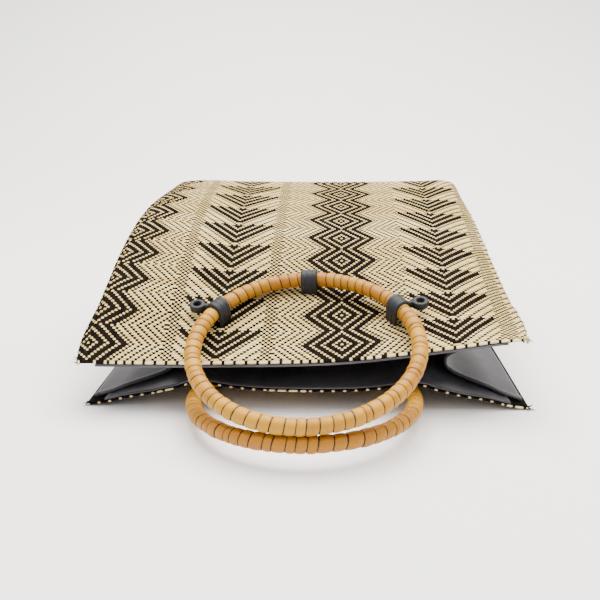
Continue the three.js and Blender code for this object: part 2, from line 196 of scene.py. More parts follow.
def plan_run(length, rise):
    return np.sqrt(np.maximum(length ** 2 - rise ** 2, (length * LEAST_RUN) ** 2))


def upper_grid(across, along):
    """Points of the upper panel's middle surface, a row for each station along it."""
    across = np.asarray(across, float)
    along = np.asarray(along, float)
    depth = np.zeros((len(along), len(across)))
    side = np.zeros_like(depth)
    for i in range(RUN_STEPS):
        near, far = i / RUN_STEPS, (i + 1) / RUN_STEPS
        rise = upper_heights(across, along * far) - upper_heights(across, along * near)
        length = np.abs(along)[:, None] / RUN_STEPS * PANEL_DEPTH
        depth += plan_run(length, rise) * np.sign(along)[:, None]
        rise = upper_heights(across * far, along) - upper_heights(across * near, along)
        length = np.abs(across)[None, :] / RUN_STEPS * BAG_WIDTH / 2
        side += plan_run(length, rise) * np.sign(across)[None, :]
    # The side seams pull the panel in at the corners of the mouth
    pull = CORNER_PULL * np.maximum(1 - np.maximum(along, 0) / CORNER_REACH, 0) ** 2
    side -= pull[:, None] * across[None, :] ** 3
    y = UPPER_MOUTH_Y + MOUTH_SKEW * across[None, :] / 2 + depth
    return np.stack([side - SIDE_LEAN / 2, y, upper_heights(across, along)], axis=-1)


def mat_grid(across, parts):
    """Points of the mat's middle surface. Part 0 to 1 is the upper panel from the mouth, 1 to 2 the
    bag's bottom, and 2 to 3 the lower panel back to the mouth."""
    across = np.asarray(across, float)
    parts = np.asarray(parts, float)
    grid = np.zeros((len(parts), len(across), 3))
    is_upper = parts <= 1
    if is_upper.any():
        grid[is_upper] = upper_grid(across, parts[is_upper])
    end = upper_grid(across, [1])[0]
    floor_z = MAT_THICKNESS / 2
    lower_x = across * BAG_WIDTH / 2 + SIDE_LEAN / 2
    mouth = LOWER_MOUTH_Y + MOUTH_SKEW * across / 2 + LOWER_MOUTH_BOW * across ** 2
    for row in np.flatnonzero(~is_upper):
        part = parts[row]
        if part >= 2:
            y = end[:, 1] + (mouth - end[:, 1]) * (part - 2)
            grid[row] = np.stack([lower_x, y, floor_z + lower_lift(across, y)], axis=-1)
            continue
        share = part - 1
        x = end[:, 0] + (lower_x - end[:, 0]) * share
        if share < FOLD_SHARE:
            turn = share / FOLD_SHARE * math.pi / 2
            y = end[:, 1] + FOLD_RADIUS * math.sin(turn)
            z = end[:, 2] - FOLD_RADIUS * (1 - math.cos(turn))
        elif share > 1 - FOLD_SHARE:
            turn = (1 - share) / FOLD_SHARE * math.pi / 2
            y = end[:, 1] + FOLD_RADIUS * math.sin(turn)
            z = np.full(len(across), floor_z + FOLD_RADIUS * (1 - math.cos(turn)))
        else:
            down = (share - FOLD_SHARE) / (1 - 2 * FOLD_SHARE)
            y = end[:, 1] + FOLD_RADIUS + BOTTOM_BULGE * math.sin(math.pi * down) ** 2
            top = end[:, 2] - FOLD_RADIUS
            z = top + (floor_z + FOLD_RADIUS - top) * down
        grid[row] = np.stack([x, y, z], axis=-1)
    return grid


def unit(vectors):
    return vectors / np.linalg.norm(vectors, axis=-1, keepdims=True)


def mat_normals(across, parts):
    across = np.asarray(across, float)
    parts = np.asarray(parts, float)
    wide = (mat_grid(np.minimum(across + SLOPE_STEP, 1), parts)
            - mat_grid(np.maximum(across - SLOPE_STEP, -1), parts))
    long = mat_grid(across, parts + SLOPE_STEP) - mat_grid(across, parts - SLOPE_STEP)
    return unit(np.cross(wide, long))


def mat_offset(across, parts, distance):
    return mat_grid(across, parts) + mat_normals(across, parts) * distance


# The mat sampled at every half cell, with a few rows past both mouth edges
ROWS = 2 * PANEL_ROWS + BOTTOM_ROWS
SPARE_ROWS = 2


def row_part(row):
    """The part of the mat, 0 to 3, at a weave row counted from the upper mouth edge."""
    row = np.asarray(row, float)
    after_top = 1 + (row - PANEL_ROWS) / BOTTOM_ROWS
    after_bottom = 2 + (row - PANEL_ROWS - BOTTOM_ROWS) / PANEL_ROWS
    is_lower = row >= PANEL_ROWS + BOTTOM_ROWS
    return np.where(row <= PANEL_ROWS, row / PANEL_ROWS, np.where(is_lower, after_bottom, after_top))


sample_rows = np.arange(-2 * SPARE_ROWS, 2 * (ROWS + SPARE_ROWS) + 1) / 2
sample_across = np.arange(2 * CELLS + 1) / CELLS - 1
MAT_POINTS = mat_grid(sample_across, row_part(sample_rows))
MAT_NORMALS = mat_normals(sample_across, row_part(sample_rows))


def on_mat(cell, row, height):
    """Points over the mat's middle surface, at cells from its left edge and rows from the mouth."""
    cell, row, height = np.broadcast_arrays(cell, row, height)
    u = cell * 2
    v = (row + SPARE_ROWS) * 2
    i = np.clip(np.floor(u).astype(int), 0, MAT_POINTS.shape[1] - 2)
    j = np.clip(np.floor(v).astype(int), 0, MAT_POINTS.shape[0] - 2)
    s = (u - i)[..., None]
    t = (v - j)[..., None]

    def sample(grid):
        near = grid[j, i] * (1 - s) + grid[j, i + 1] * s
        far = grid[j + 1, i] * (1 - s) + grid[j + 1, i + 1] * s
        return near * (1 - t) + far * t

    return sample(MAT_POINTS) + sample(MAT_NORMALS) * height[..., None]


# Meshes

def add_mesh(name, points, faces, materials, face_materials=None, uvs=None, colours=None):
    """A smooth mesh of quads. Points are millimetres in the mouth frame."""
    points = (np.reshape(points, (-1, 3)) + ORIGIN) / 1000
    faces = np.asarray(faces, dtype=np.int32)
    mesh = bpy.data.meshes.new(name)
    mesh.vertices.add(len(points))
    mesh.vertices.foreach_set("co", points.astype(np.float32).ravel())
    mesh.loops.add(faces.size)
    mesh.loops.foreach_set("vertex_index", faces.ravel())
    mesh.polygons.add(len(faces))
    mesh.polygons.foreach_set("loop_start", np.arange(0, faces.size, faces.shape[1], dtype=np.int32))
    mesh.polygons.foreach_set("use_smooth", np.ones(len(faces), dtype=bool))
    for material in materials:
        mesh.materials.append(material)
    if face_materials is not None:
        mesh.polygons.foreach_set("material_index", np.asarray(face_materials, dtype=np.int32))
    if uvs is not None:
        layer = mesh.uv_layers.new(name="strand")
        layer.data.foreach_set("uv", np.reshape(uvs, (-1, 2))[faces.ravel()].astype(np.float32).ravel())
    if colours is not None:
        layer = mesh.color_attributes.new(name="tones", type="FLOAT_COLOR", domain="POINT")
        layer.data.foreach_set("color", np.reshape(colours, (-1, 4)).astype(np.float32).ravel())
    mesh.update(calc_edges=True)
    mesh.validate()
    piece = bpy.data.objects.new(name, mesh)
    bpy.context.scene.collection.objects.link(piece)
    return piece


def finish_piece(piece, slot, *nodes):
    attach(piece, "root")
    if nodes:
        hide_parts(*nodes)
    return piece


def grid_faces(rows, columns, start=0):
    r, c = np.meshgrid(np.arange(rows - 1), np.arange(columns - 1), indexing="ij")
    a = start + r * columns + c
    return np.stack([a, a + 1, a + columns + 1, a + columns], axis=-1).reshape(-1, 4)


def wall(outer, inner):
    """Points and faces of a closed wall between two grids of points."""
    rows, columns = outer.shape[:2]
    count = rows * columns
    faces = [grid_faces(rows, columns), grid_faces(rows, columns, count)[:, ::-1]]
    index = np.arange(count).reshape(rows, columns)
    for edge, turned in ((index[0], False), (index[-1], True), (index[:, 0], True), (index[:, -1], False)):
        quads = np.stack([edge[:-1], edge[:-1] + count, edge[1:] + count, edge[1:]], axis=-1)
        faces.append(quads[:, ::-1] if turned else quads)
    return np.concatenate([outer.reshape(-1, 3), inner.reshape(-1, 3)]), np.concatenate(faces)


# Materials

def linear(*rgb):
    values = [c / 255 for c in rgb]
    return [c / 12.92 if c <= 0.04045 else ((c + 0.055) / 1.055) ** 2.4 for c in values] + [1]


CANE_DARK = linear(158, 104, 8)
CANE_LIGHT = linear(182, 130, 16)
CANE_FIBRE = linear(198, 150, 34)
# The colour of the rings' darker stretches; on the lower ring it is painted shade
CANE_DARKER = linear(146, 82, 4)
CANE_SPECK = linear(120, 66, 18)
CANE_SEAM = linear(38, 16, 4)

# Stretch of the fibre noise along and across a straw strand, and a turn of cane
STRAW_FIBRES = (0.12, 5.0, 1.0)
CANE_FIBRES = (0.05, 2.2, 1.0)


class Nodes:
    """A node material that is built up one node at a time."""

    def __init__(self, name, roughness, specular=0.5):
        self.material = bpy.data.materials.new(name)
        self.material.use_nodes = True
        self.tree = self.material.node_tree
        self.shader = self.tree.nodes["Principled BSDF"]
        self.shader.inputs["Roughness"].default_value = roughness
        self.shader.inputs["Specular IOR Level"].default_value = specular

    def put(self, socket, value):
        if isinstance(value, bpy.types.NodeSocket):
            self.tree.links.new(value, socket)
        else:
            socket.default_value = value

    def node(self, kind, **inputs):
        node = self.tree.nodes.new(kind)
        for name, value in inputs.items():
            self.put(node.inputs[name.replace("_", " ")], value)
        return node

    def maths(self, operation, a, b=0.0):
        node = self.tree.nodes.new("ShaderNodeMath")
        node.operation = operation
        self.put(node.inputs[0], a)
        self.put(node.inputs[1], b)
        return node.outputs[0]

    def mix(self, share, a, b):
        node = self.tree.nodes.new("ShaderNodeMix")
        node.data_type = "RGBA"
        self.put(node.inputs[0], share)
        self.put(node.inputs[6], a)
        self.put(node.inputs[7], b)
        return node.outputs[2]

    def stretch(self, vector, x, y, z):
        node = self.tree.nodes.new("ShaderNodeVectorMath")
        node.operation = "MULTIPLY"
        self.put(node.inputs[0], vector)
        self.put(node.inputs[1], (x, y, z))
        return node.outputs[0]

    def noise(self, vector, scale, detail=2.0):
        return self.node("ShaderNodeTexNoise", Vector=vector, Scale=scale, Detail=detail).outputs["Fac"]

    def steps(self, value, low, high):
        """0 below low, 1 above high, smooth in between"""
        node = self.tree.nodes.new("ShaderNodeMapRange")
        node.interpolation_type = "SMOOTHSTEP"
        for place, number in enumerate((value, low, high, 0.0, 1.0)):
            self.put(node.inputs[place], number)
        return node.outputs[0]

    def bump(self, height, distance, strength=1.0):
        node = self.node("ShaderNodeBump", Height=height, Distance=distance, Strength=strength)
        self.tree.links.new(node.outputs[0], self.shader.inputs["Normal"])

    def place(self):
        return self.tree.nodes.new("ShaderNodeNewGeometry").outputs["Position"]

    def uv(self):
        node = self.tree.nodes.new("ShaderNodeUVMap")
        node.uv_map = "strand"
        return node.outputs[0]

    def colour(self, value):
        self.put(self.shader.inputs["Base Color"], value)


def strand_material(name, dark, middle, light, roughness, shine):
    """Straw with a tone of its own for each strand, and fibres along it."""
    m = Nodes(name, roughness, shine)
    uv = m.uv()
    parts = m.node("ShaderNodeSeparateXYZ", Vector=uv)
    strand = m.maths("FLOOR", parts.outputs["Y"])
    tone = m.tree.nodes.new("ShaderNodeTexWhiteNoise")
    tone.noise_dimensions = "1D"
    m.put(tone.inputs["W"], strand)
    fibres = m.noise(m.stretch(uv, *STRAW_FIBRES), 1.0, 3.0)
    patches = m.noise(m.place(), 26.0, 2.0)
    base = m.mix(m.steps(tone.outputs["Value"], 0.1, 0.9), dark, light)
    base = m.mix(m.steps(fibres, 0.35, 0.7), base, middle)
    base = m.mix(m.maths("MULTIPLY", m.steps(patches, 0.45, 0.75), 0.45), base, dark)
    m.colour(base)
    m.bump(fibres, 0.0003, 0.5)
    return m.material


def shade_backing_material():
    m = Nodes("mat_shade_backing", 0.9, 0.02)
    grain = m.noise(m.place(), 900.0, 2.0)
    # Near-black: painted shade for the gaps between the strands
    m.colour(m.mix(grain, linear(10, 8, 6), linear(22, 18, 13)))
    return m.material


def cane_material():
    m = Nodes("cane", 0.45, 0.3)
    tones = m.node("ShaderNodeVertexColor")
    tones.layer_name = "tones"
    parts = m.node("ShaderNodeSeparateColor", Color=tones.outputs["Color"])
    turn, seam, darkening = (parts.outputs[k] for k in ("Red", "Green", "Blue"))
    uv = m.uv()
    fibres = m.noise(m.stretch(uv, *CANE_FIBRES), 1.0, 3.0)
    specks = m.noise(m.place(), 330.0, 2.0)
    base = m.mix(turn, CANE_DARK, CANE_LIGHT)
    base = m.mix(m.maths("MULTIPLY", m.steps(fibres, 0.4, 0.75), 0.4), base, CANE_FIBRE)
    # Darker stretches from the tones' blue channel, painted shade on the lower ring
    base = m.mix(m.maths("MULTIPLY", darkening, 0.8), base, CANE_DARKER)
    base = m.mix(m.maths("MULTIPLY", m.steps(specks, 0.66, 0.74), 0.5), base, CANE_SPECK)
    base = m.mix(m.steps(seam, 0.05, 0.5), base, CANE_SEAM)
    m.colour(base)
    m.bump(fibres, 0.0004, 0.4)
    return m.material


def grained_material(name, dark, light, roughness, scale, depth):
    """Leather or coated cloth with a fine grain and slow changes of tone."""
    m = Nodes(name, roughness, 0.25)
    slow = m.noise(m.place(), 28.0, 2.0)
    grain = m.noise(m.place(), scale, 3.0)
    m.colour(m.mix(m.steps(slow, 0.3, 0.7), dark, light))
    m.put(m.shader.inputs["Roughness"], m.maths("ADD", m.maths("MULTIPLY", grain, 0.18), roughness - 0.09))
    m.bump(grain, depth, 0.6)
    return m.material


def plain_floor_material():
    m = Nodes("floor", 0.75, 0.2)
    slow = m.noise(m.place(), 1.6, 2.0)
    m.colour(m.mix(slow, linear(240, 237, 234), linear(244, 242, 240)))
    return m.material


NATURAL = strand_material("straw_natural", linear(180, 152, 90), linear(204, 180, 120),
                          linear(220, 200, 146), 0.6, 0.12)
PALE = strand_material("straw_pale", linear(196, 176, 122), linear(218, 202, 154),
                       linear(232, 220, 180), 0.6, 0.12)
BLACK = strand_material("straw_black", linear(12, 9, 7), linear(18, 14, 10), linear(30, 24, 18), 0.8, 0.02)
SHADE_BACKING = shade_backing_material()
CANE = cane_material()
LACE = grained_material("lace_leather", linear(26, 28, 31), linear(44, 46, 50), 0.55, 700.0, 0.0003)
GUSSET = grained_material("gusset_sheet", linear(52, 51, 54), linear(66, 65, 68), 0.5, 1100.0, 0.0001)
LINING = grained_material("lining_satin", linear(68, 66, 69), linear(90, 88, 91), 0.4, 900.0, 0.00015)
THREAD = grained_material("thread", linear(104, 104, 110), linear(134, 134, 140), 0.6, 900.0, 0.0001)
FLOOR = plain_floor_material()


# The weave

# Columns of the pattern's figures, in cells from the left edge, and the rows of one repeat
DIAMOND_COLUMNS = (5, 93)
CHEVRON_COLUMNS = (49, 133)
REPEAT_ROWS = 16

# How far a column of diamonds reaches to each side, how large a diamond is, which of its rings are
# natural, and how far apart the lines are outside it
DIAMOND_REACH = 24
DIAMOND_SIZE = 14
DIAMOND_LINES = (0, 3, 7, 11)
DIAMOND_STEP = 3

# Where a chevron's bars start, how far apart they are, and where the checks beside them lie
CHEVRON_START = 5
CHEVRON_STEP = 4
EYE_SIZE = 3
CHECK_FROM = 16
CHECK_TO = 21

# Cells from one float to the next along a mouth edge
EDGE_FLOAT = 4

# The left column of diamonds drifts by this many cells a row on the upper panel, and is at its own
# column in this row
DIAMOND_LEAN = 0.06
LEAN_ROW = 41


def is_black_on_top(cell, row):
    """Which crossings show the black strand, by the weave's two kinds of figure."""
    zone = np.minimum(np.abs(cell - DIAMOND_COLUMNS[0]), np.abs(cell - DIAMOND_COLUMNS[1]))
    lean = np.rint(DIAMOND_LEAN * (np.minimum(row, PANEL_ROWS) - LEAN_ROW)).astype(int)
    leaning = np.abs(cell - DIAMOND_COLUMNS[0] - lean)
    diamond = np.minimum(leaning, np.abs(cell - DIAMOND_COLUMNS[1]))
    d = diamond + np.abs(row % REPEAT_ROWS - REPEAT_ROWS // 2)
    in_diamond = (d <= DIAMOND_SIZE) & ~np.isin(d, DIAMOND_LINES)
    in_diamond |= (d > DIAMOND_SIZE) & (d % DIAMOND_STEP == 1)
    chevron = np.minimum(np.abs(cell - CHEVRON_COLUMNS[0]), np.abs(cell - CHEVRON_COLUMNS[1]))
    r = -row % REPEAT_ROWS
    s = r + chevron
    in_chevron = (s >= CHEVRON_START) & (s < REPEAT_ROWS) & (s % CHEVRON_STEP != 0)
    in_chevron |= (s >= REPEAT_ROWS) & (s % CHEVRON_STEP == 1)
    # Each chevron has a small eye at its foot, under a short arc
    in_chevron &= ~((r == REPEAT_ROWS - 1) & (chevron <= 1))
    in_chevron |= (s >= 1) & (s <= EYE_SIZE) & ~((r == 0) & (chevron > 1))
    checks = (chevron >= CHECK_FROM) & (chevron <= CHECK_TO)
    in_chevron = np.where(checks, (cell + row) % 2 == 0, in_chevron)
    black = np.where(zone <= DIAMOND_REACH, in_diamond, in_chevron)
    # Along the mouth edges natural floats run between the figures, and the lower edge has single
    # natural dots inside them
    between = diamond > DIAMOND_SIZE
    black = np.where((row == 0) & between, cell % EDGE_FLOAT == 0, black)
    between &= chevron > CHECK_FROM
    lower_edge = np.where(between, (cell + row) % EDGE_FLOAT == 0, cell % EDGE_FLOAT != 0)
    return np.where(row == ROWS - 1, lower_edge, black)


# Heights over the mat's middle surface, in millimetres, and how wide a strand is in cells
STRAND_TOP = MAT_THICKNESS / 2
STRAND_DIP = 0.55
STRAND_EDGE = 0.2
STRAND_WIDTH = 0.88
STRAND_TUCK = 0.2
EDGE_WRAP = 0.2
EDGE_DROP = 0.9
PATCH_POINTS = 3
UV_MARGIN = 0.02

all_rows, all_cells = np.meshgrid(np.arange(ROWS), np.arange(CELLS), indexing="ij")
BLACK_MAP = is_black_on_top(all_cells, all_rows)


def weave(name, first, last, side_points):
    """The strands that show in the rows from first to last: one domed patch for each crossing."""
    j, i = np.meshgrid(np.arange(first, last), np.arange(CELLS), indexing="ij")
    i, j = i.ravel(), j.ravel()
    black = BLACK_MAP[j, i]
    padded = np.full((ROWS + 2, CELLS + 2), -1)
    padded[1:-1, 1:-1] = BLACK_MAP
    same = {}
    for key, dj, di in (("left", 0, -1), ("right", 0, 1), ("near", -1, 0), ("far", 1, 0)):
        same[key] = padded[j + 1 + dj, i + 1 + di] == black
    before = np.where(black, same["near"], same["left"])
    after = np.where(black, same["far"], same["right"])
    ends = ((j == 0) & black | (i == 0) & ~black, (j == ROWS - 1) & black | (i == CELLS - 1) & ~black)
    tuck = np.full(len(i), STRAND_TUCK)
    start = np.where(before, 0, np.where(ends[0], -EDGE_WRAP, -tuck))
    stop = np.where(after, 1, 1 + np.where(ends[1], EDGE_WRAP, tuck))
    low_start = np.where(before, 0, np.where(ends[0], -EDGE_DROP, -STRAND_DIP))
    low_stop = np.where(after, 0, np.where(ends[1], -EDGE_DROP, -STRAND_DIP))
    along = np.stack([start, np.full(len(i), 0.5), stop], axis=1)
    rise = np.stack([low_start, np.zeros(len(i)), low_stop], axis=1)
    spread = np.linspace(-STRAND_WIDTH / 2, STRAND_WIDTH / 2, side_points) + 0.5
    side = np.tile(spread, (len(i), 1))
    drop = np.tile(-STRAND_EDGE * np.abs(np.linspace(-1, 1, side_points)), (len(i), 1))
    # A strand that runs along an edge wraps over it with its own side
    low_side = (j == 0) & ~black | (i == 0) & black
    high_side = (j == ROWS - 1) & ~black | (i == CELLS - 1) & black
    side[low_side, 0] = -EDGE_WRAP
    drop[low_side, 0] = -EDGE_DROP
    side[high_side, -1] = 1 + EDGE_WRAP
    drop[high_side, -1] = -EDGE_DROP
    u = np.where(black[:, None, None], side[:, None, :], along[:, :, None])
    v = np.where(black[:, None, None], along[:, :, None], side[:, None, :])
    height = STRAND_TOP + rise[:, :, None] + drop[:, None, :]
    cell = i[:, None, None] + u
    row = j[:, None, None] + v
    points = on_mat(cell, row, height)
    pitch = BAG_WIDTH / CELLS
    uv_along = np.where(black[:, None, None], row, cell) * pitch
    within = np.tile(side[:, None, :], (1, PATCH_POINTS, 1)).clip(UV_MARGIN, 1 - UV_MARGIN)
    uv_side = np.where(black, i, j)[:, None, None] + within
    uvs = np.stack([uv_along, uv_side], axis=-1)
    patch = grid_faces(PATCH_POINTS, side_points)
    count = PATCH_POINTS * side_points
    faces = (patch[None] + np.arange(len(i))[:, None, None] * count)
    # Natural patches run the other way round, so their faces are turned to look outwards
    faces = np.where(black[:, None, None], faces, faces[:, :, ::-1]).reshape(-1, 4)
    kinds = np.repeat(black.astype(int), len(patch))
    piece = add_mesh(name, points, faces, [NATURAL, BLACK], kinds, uvs)
    return finish_piece(piece, "straw", "woven_body")


# The round of a strand that lies along a mouth edge: its half height and half depth in millimetres
EDGE_HALF_HEIGHT = 0.85
EDGE_HALF_DEPTH = 0.8
EDGE_SIDES = 8
BLACK_EDGE_SIZE = 0.82

# Places in cells from each end of an edge strand, and its size there
EDGE_TIP = (-0.05, 0.45)
EDGE_SHOULDER = (0.25, 0.95)


def edge_strands(name, row, edge_row, outward):
    """Strands bent over a mouth edge: a long one for each natural float and a short one for each
    black strand."""
    pitch = PANEL_DEPTH / PANEL_ROWS
    changes = np.flatnonzero(np.diff(BLACK_MAP[row].astype(int))) + 1
    starts = np.concatenate([[0], changes])
    stops = np.concatenate([changes, [CELLS]])
    runs = []
    for start, stop in zip(starts, stops):
        if BLACK_MAP[row][start]:
            runs += [(cell, cell + 1, True) for cell in range(start, stop)]
        else:
            runs.append((start, stop, False))
    phi = 2 * np.pi * np.arange(EDGE_SIDES) / EDGE_SIDES
    points, faces, kinds, uvs = [], [], [], []
    for start, stop, black in runs:
        size = BLACK_EDGE_SIZE if black else 1.0
        places = [start + EDGE_TIP[0], start + EDGE_SHOULDER[0], (start + stop) / 2,
                  stop - EDGE_SHOULDER[0], stop - EDGE_TIP[0]]
        sizes = [EDGE_TIP[1], EDGE_SHOULDER[1], 1.0, EDGE_SHOULDER[1], EDGE_TIP[1]]
        count = sum(len(p) for p in points)
        cells = np.array(places)[:, None]
        radius = np.array(sizes)[:, None] * size
        rows = edge_row + outward * radius * EDGE_HALF_DEPTH * np.cos(phi)[None, :] / pitch
        heights = radius * EDGE_HALF_HEIGHT * np.sin(phi)[None, :]
        points.append(on_mat(cells + 0 * rows, rows, heights).reshape(-1, 3))
        index = count + np.arange(len(places) * EDGE_SIDES).reshape(len(places), EDGE_SIDES)
        right = np.roll(index, -1, axis=1)
        quads = np.stack([index[:-1], index[1:], right[1:], right[:-1]], axis=-1).reshape(-1, 4)
        faces.append(quads[:, ::-1] if outward > 0 else quads)
        kinds += [int(black)] * len(quads)
        along = np.repeat(cells * pitch, EDGE_SIDES, axis=1)
        across = start + 0.5 + 0.4 * np.cos(phi)[None, :] + 0 * cells
        uvs.append(np.stack([along, across], axis=-1).reshape(-1, 2))
    piece = add_mesh(name, np.concatenate(points), np.concatenate(faces), [PALE, BLACK], kinds,
                     np.concatenate(uvs))
    return finish_piece(piece, "straw")


# How far the backing lies under the strands' edges, and the cells and rows between its points
BACKING_DEPTH = 0.25
BACKING_STEP = 2

LINING_STEP = 3
LINING_POINTS = 81


def mat_shade_backing():
    """The ground behind the strands, a closed sheet, near-black as painted shade for the gaps between them.
    """
    rows = np.append(np.arange(0, ROWS, BACKING_STEP), ROWS)
    across = np.linspace(-1, 1, CELLS // BACKING_STEP + 1)
    parts = row_part(rows)
    outer = mat_offset(across, parts, STRAND_TOP - STRAND_EDGE - BACKING_DEPTH)
    inner = mat_offset(across, parts, -MAT_THICKNESS / 2)
    points, faces = wall(outer, inner)
    return finish_piece(add_mesh("mat_shade_backing", points, faces, [SHADE_BACKING]), "straw", "woven_body")


def lining():
    first = -UPPER_LINING_REACH / PANEL_DEPTH
    last = 3 + LOWER_LINING_REACH / PANEL_DEPTH
    parts = np.concatenate([[first], row_part(np.arange(0, ROWS - 1, LINING_STEP)), [last]])
    span = 1 - 2 * LINING_INSET / BAG_WIDTH
    across = np.linspace(-span, span, LINING_POINTS)
    near = -(MAT_THICKNESS / 2 + CLEARANCE)
    outer = mat_offset(across, parts, near)
    inner = mat_offset(across, parts, near - LINING_THICKNESS)
    points, faces = wall(outer, inner)
    return finish_piece(add_mesh("lining_sheet", points, faces, [LINING]), "lining", "lining")


# Gussets

GUSSET_SPAN = 1 - 2 * GUSSET_INSET / BAG_WIDTH


def gusset_grid(side, across, along):
    """Points of a gusset's middle surface, a row for each station along it."""
    across = np.asarray(across, float)
    along = np.asarray(along, float)
    inside = -(MAT_THICKNESS / 2 + CLEARANCE + GUSSET_THICKNESS)
    top = mat_offset([side * GUSSET_SPAN], along, inside)
    bottom = mat_offset([side * GUSSET_SPAN], 3 - along, inside)
    gap = np.linalg.norm(top - bottom, axis=-1)
    tuck = np.sqrt(np.maximum(GUSSET_WIDTH ** 2 - gap ** 2, 0)) / 2 * GUSSET_ROUNDNESS
    along = along[:, None]
    ending = np.minimum(1, (1 - along) * GUSSET_OPENING + GUSSET_END_DEPTH)
    weights = smooth_weights(GUSSET_PLACES, across)
    fold = np.maximum(weights @ np.array(GUSSET_INWARD), 0)[None, :]
    points = top + (bottom - top) * (weights @ np.array(GUSSET_DOWN))[None, :, None]
    points[..., 0] -= side * tuck * ending * fold
    points[..., 1] += fold ** HEM_POWER * HEM_RECESS * (1 - along) ** 2
    reach = FOLD_RADIUS - MAT_THICKNESS - LINING_THICKNESS - CLEARANCE
    points[..., 1] += np.sqrt(fold) * reach * along ** GUSSET_END_POWER
    lift = lower_lift((points[..., 0] - SIDE_LEAN / 2) * 2 / BAG_WIDTH, points[..., 1])
    share = (points[..., 2] - bottom[..., 2]) / (top[..., 2] - bottom[..., 2])
    points[..., 2] += lift * (1 - share)
    return points


def gusset_normals(side, across, along):
    across = np.asarray(across, float)
    along = np.asarray(along, float)
    wide = (gusset_grid(side, np.minimum(across + SLOPE_STEP, 1), along)
            - gusset_grid(side, np.maximum(across - SLOPE_STEP, 0), along))
    long = (gusset_grid(side, across, np.minimum(along + SLOPE_STEP, 1))
            - gusset_grid(side, across, np.maximum(along - SLOPE_STEP, 0)))
    return unit(np.cross(wide, long)) * side


HEM_WIDTH = 7
HEM_THICKNESS = 1.0
STITCH_INSET = 4
STITCH_LENGTH = 2.0
STITCH_PITCH = 3.2
STITCH_MARGIN = 0.03
STITCH_SAMPLES = 400
THREAD_RADIUS = 0.28

# A thread's form: places along it and its size there
THREAD_FORM = ((-0.02, 0.3), (0.12, 1.0), (0.5, 1.15), (0.88, 1.0), (1.02, 0.3))

# The hem's form: places over its width and its thickness there, as shares
HEM_PLACES = np.array([0, 0.06, 0.15, 0.5, 0.9, 1, 1.1])
HEM_SHARES = np.array([-0.6, 0.6, 1, 1, 1, 0, 0])

# The sheet's points past the hem
SHEET_START = 0.04
SHEET_ROWS = 50
SHEET_COLUMNS = 61


def gusset(name, side):
    hem_start = HEM_INSET / PANEL_DEPTH
    hem_share = HEM_WIDTH / PANEL_DEPTH
    sheet_rows = np.linspace(hem_start + SHEET_START, 1, SHEET_ROWS)
    along = np.concatenate([hem_start + hem_share * HEM_PLACES, sheet_rows])
    across = np.linspace(0, 1, SHEET_COLUMNS)
    if side < 0:
        across = across[::-1]
    points = gusset_grid(side, across, along)
    normals = gusset_normals(side, across, along)
    thick = np.interp((along - hem_start) / hem_share, HEM_PLACES, HEM_SHARES)
    extra = (HEM_THICKNESS * thick)[:, None, None]
    half = GUSSET_THICKNESS / 2
    outer = points + normals * (half + extra / 2)
    inner = points - normals * (half + extra / 2)
    body, faces = wall(outer, inner)
    piece = finish_piece(add_mesh(f"{name}_sheet", body, faces, [GUSSET]), "gusset", name)
    stitches(f"{name}_stitches", side)
    return piece


def capsule_row(starts, ends, normals, radius, sides=6):
    """Short round-ended threads as one set of points and faces."""
    centres = []
    for share, size in THREAD_FORM:
        centres.append((starts + (ends - starts) * share, size))
    tangent = unit(ends - starts)
    side = unit(np.cross(normals, tangent))
    up = np.cross(tangent, side)
    rings = []
    for centre, size in centres:
        angle = 2 * np.pi * np.arange(sides) / sides
        ring = (np.cos(angle)[None, :, None] * side[:, None] + np.sin(angle)[None, :, None] * up[:, None])
        rings.append(centre[:, None] + ring * radius * size)
    points = np.stack(rings, axis=1)
    count = len(rings) * sides
    faces = []
    for r in range(len(rings) - 1):
        for s in range(sides):
            t = (s + 1) % sides
            faces.append([r * sides + s, r * sides + t, (r + 1) * sides + t, (r + 1) * sides + s])
    faces = np.array(faces)[None] + (np.arange(len(starts)) * count)[:, None, None]
    return points.reshape(-1, 3), faces.reshape(-1, 4)


def stitches(name, side):
    along = [(HEM_INSET + STITCH_INSET) / PANEL_DEPTH]
    across = np.linspace(STITCH_MARGIN, 1 - STITCH_MARGIN, STITCH_SAMPLES)
    line = gusset_grid(side, across, along)[0]
    lengths = np.concatenate([[0], np.cumsum(np.linalg.norm(np.diff(line, axis=0), axis=1))])
    places = np.arange(0, lengths[-1] - STITCH_LENGTH, STITCH_PITCH)
    starts_at = np.interp(places, lengths, across)
    ends_at = np.interp(places + STITCH_LENGTH, lengths, across)
    height = GUSSET_THICKNESS / 2 + HEM_THICKNESS / 2
    ends = []
    for at in (starts_at, ends_at):
        normals = gusset_normals(side, at, along)[0]
        ends.append(gusset_grid(side, at, along)[0] + normals * height)
    points, faces = capsule_row(ends[0], ends[1], normals, THREAD_RADIUS)
    return finish_piece(add_mesh(name, points, faces, [THREAD]), "gusset")


# Ring handles

def ring_matrix(tilt, roll):
    t, r = math.radians(tilt), -math.radians(roll)
    about_x = np.array([[1, 0, 0], [0, math.cos(t), -math.sin(t)], [0, math.sin(t), math.cos(t)]])
    about_y = np.array([[math.cos(r), 0, math.sin(r)], [0, 1, 0], [-math.sin(r), 0, math.cos(r)]])
    return about_x @ about_y


UPPER_RING = (box_centre("upper_ring") - ORIGIN, ring_matrix(UPPER_RING_TILT, UPPER_RING_ROLL))
LOWER_RING = (lower_centre - ORIGIN, ring_matrix(LOWER_RING_TILT, LOWER_RING_ROLL))

TURNS = 70
TURN_SIDES = 22
TURN_LEAN = 0.12
TURN_PLACES = np.array([0, 0.07, 0.2, 0.45, 0.72, 0.93])
TURN_HEIGHTS = np.array([-0.65, -0.1, 0.18, 0.32, 0.2, -0.05])

